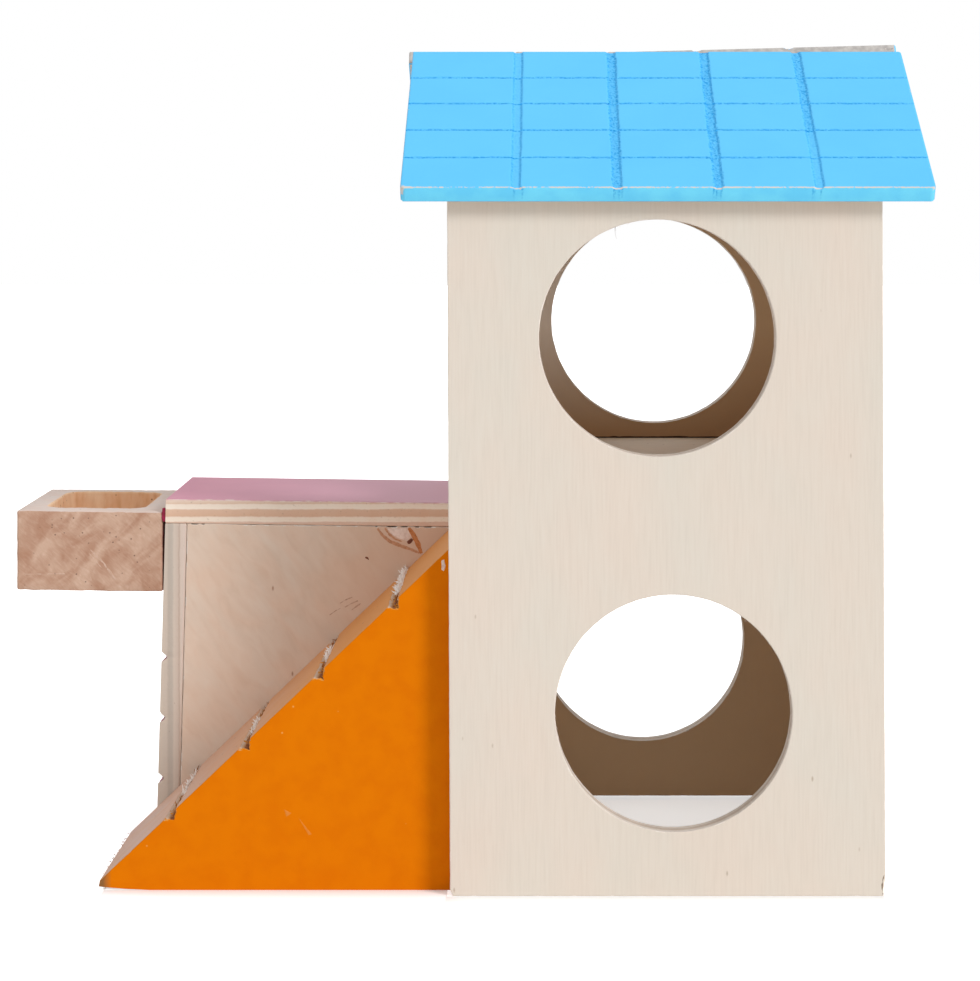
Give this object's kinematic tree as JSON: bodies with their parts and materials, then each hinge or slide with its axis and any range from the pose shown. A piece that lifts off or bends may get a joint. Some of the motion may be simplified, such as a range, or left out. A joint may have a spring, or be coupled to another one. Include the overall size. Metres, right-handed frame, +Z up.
{
  "type": "wooden hamster house",
  "caption": "Small animal house: plywood tower with round doorways and tiled gable roof, low room with terrace, solid grooved ramp and routed feed bowl.",
  "frame": {"origin": "on the ground, under the middle of the house's box", "axes": "+Z up, +X to the right seen from the front, where the ramp's orange side shows, +Y to the back"},
  "size_m": [0.2036, 0.1014, 0.1827],
  "materials": {
    "bare_plywood": "sanded, unfinished",
    "panel_plywood": "sanded, unfinished",
    "blue_painted_board": "matt water-based paint",
    "crimson_painted_plywood": "matt water-based paint on the outer face",
    "rose_painted_plywood": "matt thin paint on the top face",
    "orange_painted_softwood": "matt paint on the side, bare slope",
    "bare_softwood": "sawn and routed, unfinished"
  },
  "bodies": {
    "root": {"tower_front_wall": "bare_plywood", "tower_back_wall": "bare_plywood", "tower_left_wall": "bare_plywood", "tower_right_wall": "bare_plywood", "upper_floor": "bare_plywood", "roof_front_board": "blue_painted_board", "roof_back_board": "blue_painted_board", "annex_left_wall": "crimson_painted_plywood", "annex_front_panel": "panel_plywood", "annex_back_panel": "panel_plywood", "terrace_board": "rose_painted_plywood", "ramp_wedge": "orange_painted_softwood", "feed_bowl": "bare_softwood"}
  },
  "joints": []
}
